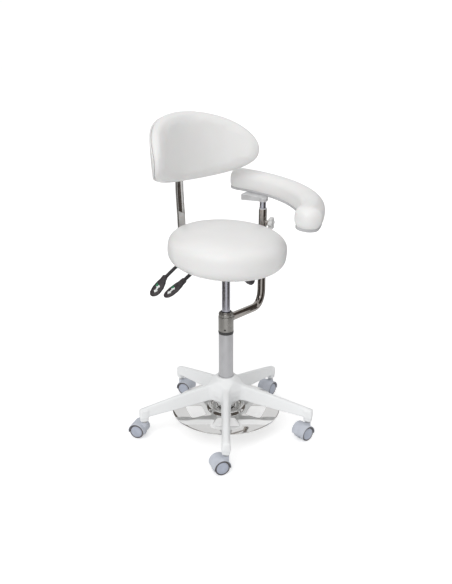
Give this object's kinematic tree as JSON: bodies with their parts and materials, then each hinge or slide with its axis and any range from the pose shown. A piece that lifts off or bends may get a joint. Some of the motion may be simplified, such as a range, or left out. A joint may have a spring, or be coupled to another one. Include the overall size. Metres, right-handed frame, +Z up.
{
  "type": "dentist stool",
  "caption": "Round white stool on a castor star base with a foot disc that releases its gas column, a tilting seat, a wrap-around backrest and a curved padded support arm on a swinging tube.",
  "frame": {"origin": "on the floor under the column, at the middle of the footprint", "axes": "+Z up, -Y the way the sitter faces, +X the sitter's left"},
  "size_m": [0.6111, 0.6175, 1.0567],
  "materials": {
    "white_nylon": "semi-gloss moulded nylon",
    "column_steel": "satin grey",
    "cylinder_steel": "ground and polished",
    "black_plastic": "fine grain",
    "grey_plastic": "smooth",
    "chrome": "mirror plated",
    "zinc_steel": "zinc plated",
    "collar_steel": "satin turned",
    "castor_grey": "smooth blue-grey",
    "bearing_steel": "ground",
    "white_vinyl": "soft white upholstery vinyl, a coated fabric, over foam",
    "plywood": "plain"
  },
  "bodies": {
    "base": {"star_base": "white_nylon", "column_tube": "column_steel", "column_bush": "black_plastic", "trim_ring": "black_plastic", "pivot_hub": "chrome"},
    "column_swivel": {"piston_rod": "cylinder_steel", "thrust_bearing": "bearing_steel"},
    "carriage": {"gas_cylinder": "cylinder_steel", "mechanism_housing": "black_plastic", "tilt_pin": "zinc_steel", "back_pivot_pin": "zinc_steel"},
    "seat": {"seat_plate": "zinc_steel", "seat_board": "plywood", "seat_cushion": "white_vinyl"},
    "back_support": {"back_bracket": "zinc_steel", "back_bar": "chrome"},
    "backrest": {"back_carriage": "black_plastic", "back_shell": "white_vinyl", "back_cushion": "white_vinyl"},
    "back_lever": {"back_lever_rod": "black_plastic", "back_lever_paddle": "black_plastic"},
    "seat_lever": {"seat_lever_rod": "black_plastic", "seat_lever_paddle": "black_plastic"},
    "tension_adjuster": {"tension_knob": "black_plastic", "tension_screw": "zinc_steel"},
    "arm": {"arm_collar": "collar_steel", "collar_bush": "black_plastic", "arm_tube": "chrome", "arm_post_bush": "grey_plastic"},
    "arm_mast": {"arm_post": "cylinder_steel"},
    "arm_rest": {"arm_bracket": "collar_steel", "arm_plate": "grey_plastic", "arm_pad": "white_vinyl"},
    "arm_lock": {"arm_lock_knob": "grey_plastic"},
    "disc_gimbal": {"gimbal_ring": "chrome"},
    "foot_control": {"foot_disc": "chrome"},
    "release": {"release_pin": "zinc_steel", "return_spring": "zinc_steel"},
    "castor_1": {"castor_1_hood": "castor_grey", "castor_1_stem": "zinc_steel"},
    "castor_1_left": {"castor_1_wheel_l": "castor_grey"},
    "castor_1_right": {"castor_1_wheel_r": "castor_grey"},
    "castor_2": {"castor_2_hood": "castor_grey", "castor_2_stem": "zinc_steel"},
    "castor_2_left": {"castor_2_wheel_l": "castor_grey"},
    "castor_2_right": {"castor_2_wheel_r": "castor_grey"},
    "castor_3": {"castor_3_hood": "castor_grey", "castor_3_stem": "zinc_steel"},
    "castor_3_left": {"castor_3_wheel_l": "castor_grey"},
    "castor_3_right": {"castor_3_wheel_r": "castor_grey"},
    "castor_4": {"castor_4_hood": "castor_grey", "castor_4_stem": "zinc_steel"},
    "castor_4_left": {"castor_4_wheel_l": "castor_grey"},
    "castor_4_right": {"castor_4_wheel_r": "castor_grey"},
    "castor_5": {"castor_5_hood": "castor_grey", "castor_5_stem": "zinc_steel"},
    "castor_5_left": {"castor_5_wheel_l": "castor_grey"},
    "castor_5_right": {"castor_5_wheel_r": "castor_grey"}
  },
  "joints": [
    {"name": "seat_swivel", "type": "hinge", "parent": "base", "child": "column_swivel", "pos_m": [0, 0, 0.11], "axis": [0, 0, 1], "continuous": true},
    {"name": "seat_lift", "type": "slide", "parent": "column_swivel", "child": "carriage", "axis": [0, 0, 1], "range_m": [-0.06, 0.045]},
    {"name": "seat_tilt", "type": "hinge", "parent": "carriage", "child": "seat", "pos_m": [0, -0.035, 0.558], "axis": [1, 0, 0], "range_deg": [-4.5, 3.5]},
    {"name": "back_tilt", "type": "hinge", "parent": "carriage", "child": "back_support", "pos_m": [0, 0.07, 0.558], "axis": [1, 0, 0], "range_deg": [-12, 3]},
    {"name": "back_height", "type": "slide", "parent": "back_support", "child": "backrest", "axis": [0, 0, 1], "range_m": [-0.02, 0.05]},
    {"name": "back_lever_lift", "type": "hinge", "parent": "carriage", "child": "back_lever", "pos_m": [-0.042, 0.038, 0.559], "axis": [0, 1, 0], "range_deg": [0, 12], "stiffness_Nm_per_rad": 2, "springref_deg": -17.19},
    {"name": "seat_lever_lift", "type": "hinge", "parent": "carriage", "child": "seat_lever", "pos_m": [-0.042, 0.004, 0.559], "axis": [0, 1, 0], "range_deg": [0, 8], "stiffness_Nm_per_rad": 2, "springref_deg": -17.19},
    {"name": "tension_turn", "type": "hinge", "parent": "carriage", "child": "tension_adjuster", "pos_m": [0, -0.06, 0.553], "axis": [0, -1, 0], "continuous": true},
    {"name": "arm_swing", "type": "hinge", "parent": "column_swivel", "child": "arm", "pos_m": [0, 0, 0.385], "axis": [0, 0, 1], "range_deg": [-110, 12]},
    {"name": "arm_height", "type": "slide", "parent": "arm", "child": "arm_mast", "axis": [0, 0, 1], "range_m": [-0.018, 0.055]},
    {"name": "arm_rest_swivel", "type": "hinge", "parent": "arm_mast", "child": "arm_rest", "pos_m": [0.21137, 0.03348, 0.753], "axis": [0, 0, 1], "range_deg": [-60, 0]},
    {"name": "arm_lock_turn", "type": "hinge", "parent": "arm", "child": "arm_lock", "pos_m": [0.21137, 0.03348, 0.68], "axis": [0.4226, -0.9063, 0], "continuous": true},
    {"name": "disc_tilt_x", "type": "hinge", "parent": "base", "child": "disc_gimbal", "pos_m": [0, 0, 0.065], "axis": [1, 0, 0], "range_deg": [-4, 4], "stiffness_Nm_per_rad": 20},
    {"name": "disc_tilt_y", "type": "hinge", "parent": "disc_gimbal", "child": "foot_control", "pos_m": [0, 0, 0.065], "axis": [0, 1, 0], "range_deg": [-4, 4], "stiffness_Nm_per_rad": 20},
    {"name": "release_push", "type": "slide", "parent": "base", "child": "release", "axis": [0, 0, 1], "range_m": [0, 0.002], "stiffness_N_per_m": 600, "springref_m": -0.004, "deforming": ["return_spring"]},
    {"name": "castor_1_swivel", "type": "hinge", "parent": "base", "child": "castor_1", "pos_m": [0.28643, 0.04537, 0.05], "axis": [0, 0, 1], "continuous": true},
    {"name": "castor_1_left_roll", "type": "hinge", "parent": "castor_1", "child": "castor_1_left", "pos_m": [0.26662, 0.04258, 0.025], "axis": [0.1392, -0.9903, 0], "continuous": true},
    {"name": "castor_1_right_roll", "type": "hinge", "parent": "castor_1", "child": "castor_1_right", "pos_m": [0.26662, 0.04258, 0.025], "axis": [0.1392, -0.9903, 0], "continuous": true},
    {"name": "castor_2_swivel", "type": "hinge", "parent": "base", "child": "castor_2", "pos_m": [0.04537, 0.28643, 0.05], "axis": [0, 0, 1], "continuous": true},
    {"name": "castor_2_left_roll", "type": "hinge", "parent": "castor_2", "child": "castor_2_left", "pos_m": [0.05253, 0.26776, 0.025], "axis": [0.9336, 0.3584, 0], "continuous": true},
    {"name": "castor_2_right_roll", "type": "hinge", "parent": "castor_2", "child": "castor_2_right", "pos_m": [0.05253, 0.26776, 0.025], "axis": [0.9336, 0.3584, 0], "continuous": true},
    {"name": "castor_3_swivel", "type": "hinge", "parent": "base", "child": "castor_3", "pos_m": [-0.25839, 0.13166, 0.05], "axis": [0, 0, 1], "continuous": true},
    {"name": "castor_3_left_roll", "type": "hinge", "parent": "castor_3", "child": "castor_3_left", "pos_m": [-0.26747, 0.14948, 0.025], "axis": [-0.891, -0.454, 0], "continuous": true},
    {"name": "castor_3_right_roll", "type": "hinge", "parent": "castor_3", "child": "castor_3_right", "pos_m": [-0.26747, 0.14948, 0.025], "axis": [-0.891, -0.454, 0], "continuous": true},
    {"name": "castor_4_swivel", "type": "hinge", "parent": "base", "child": "castor_4", "pos_m": [-0.20506, -0.20506, 0.05], "axis": [0, 0, 1], "continuous": true},
    {"name": "castor_4_left_roll", "type": "hinge", "parent": "castor_4", "child": "castor_4_left", "pos_m": [-0.22333, -0.19693, 0.025], "axis": [-0.4067, -0.9135, 0], "continuous": true},
    {"name": "castor_4_right_roll", "type": "hinge", "parent": "castor_4", "child": "castor_4_right", "pos_m": [-0.22333, -0.19693, 0.025], "axis": [-0.4067, -0.9135, 0], "continuous": true},
    {"name": "castor_5_swivel", "type": "hinge", "parent": "base", "child": "castor_5", "pos_m": [0.13166, -0.25839, 0.05], "axis": [0, 0, 1], "continuous": true},
    {"name": "castor_5_left_roll", "type": "hinge", "parent": "castor_5", "child": "castor_5_left", "pos_m": [0.11177, -0.2563, 0.025], "axis": [-0.1045, -0.9945, 0], "continuous": true},
    {"name": "castor_5_right_roll", "type": "hinge", "parent": "castor_5", "child": "castor_5_right", "pos_m": [0.11177, -0.2563, 0.025], "axis": [-0.1045, -0.9945, 0], "continuous": true}
  ]
}
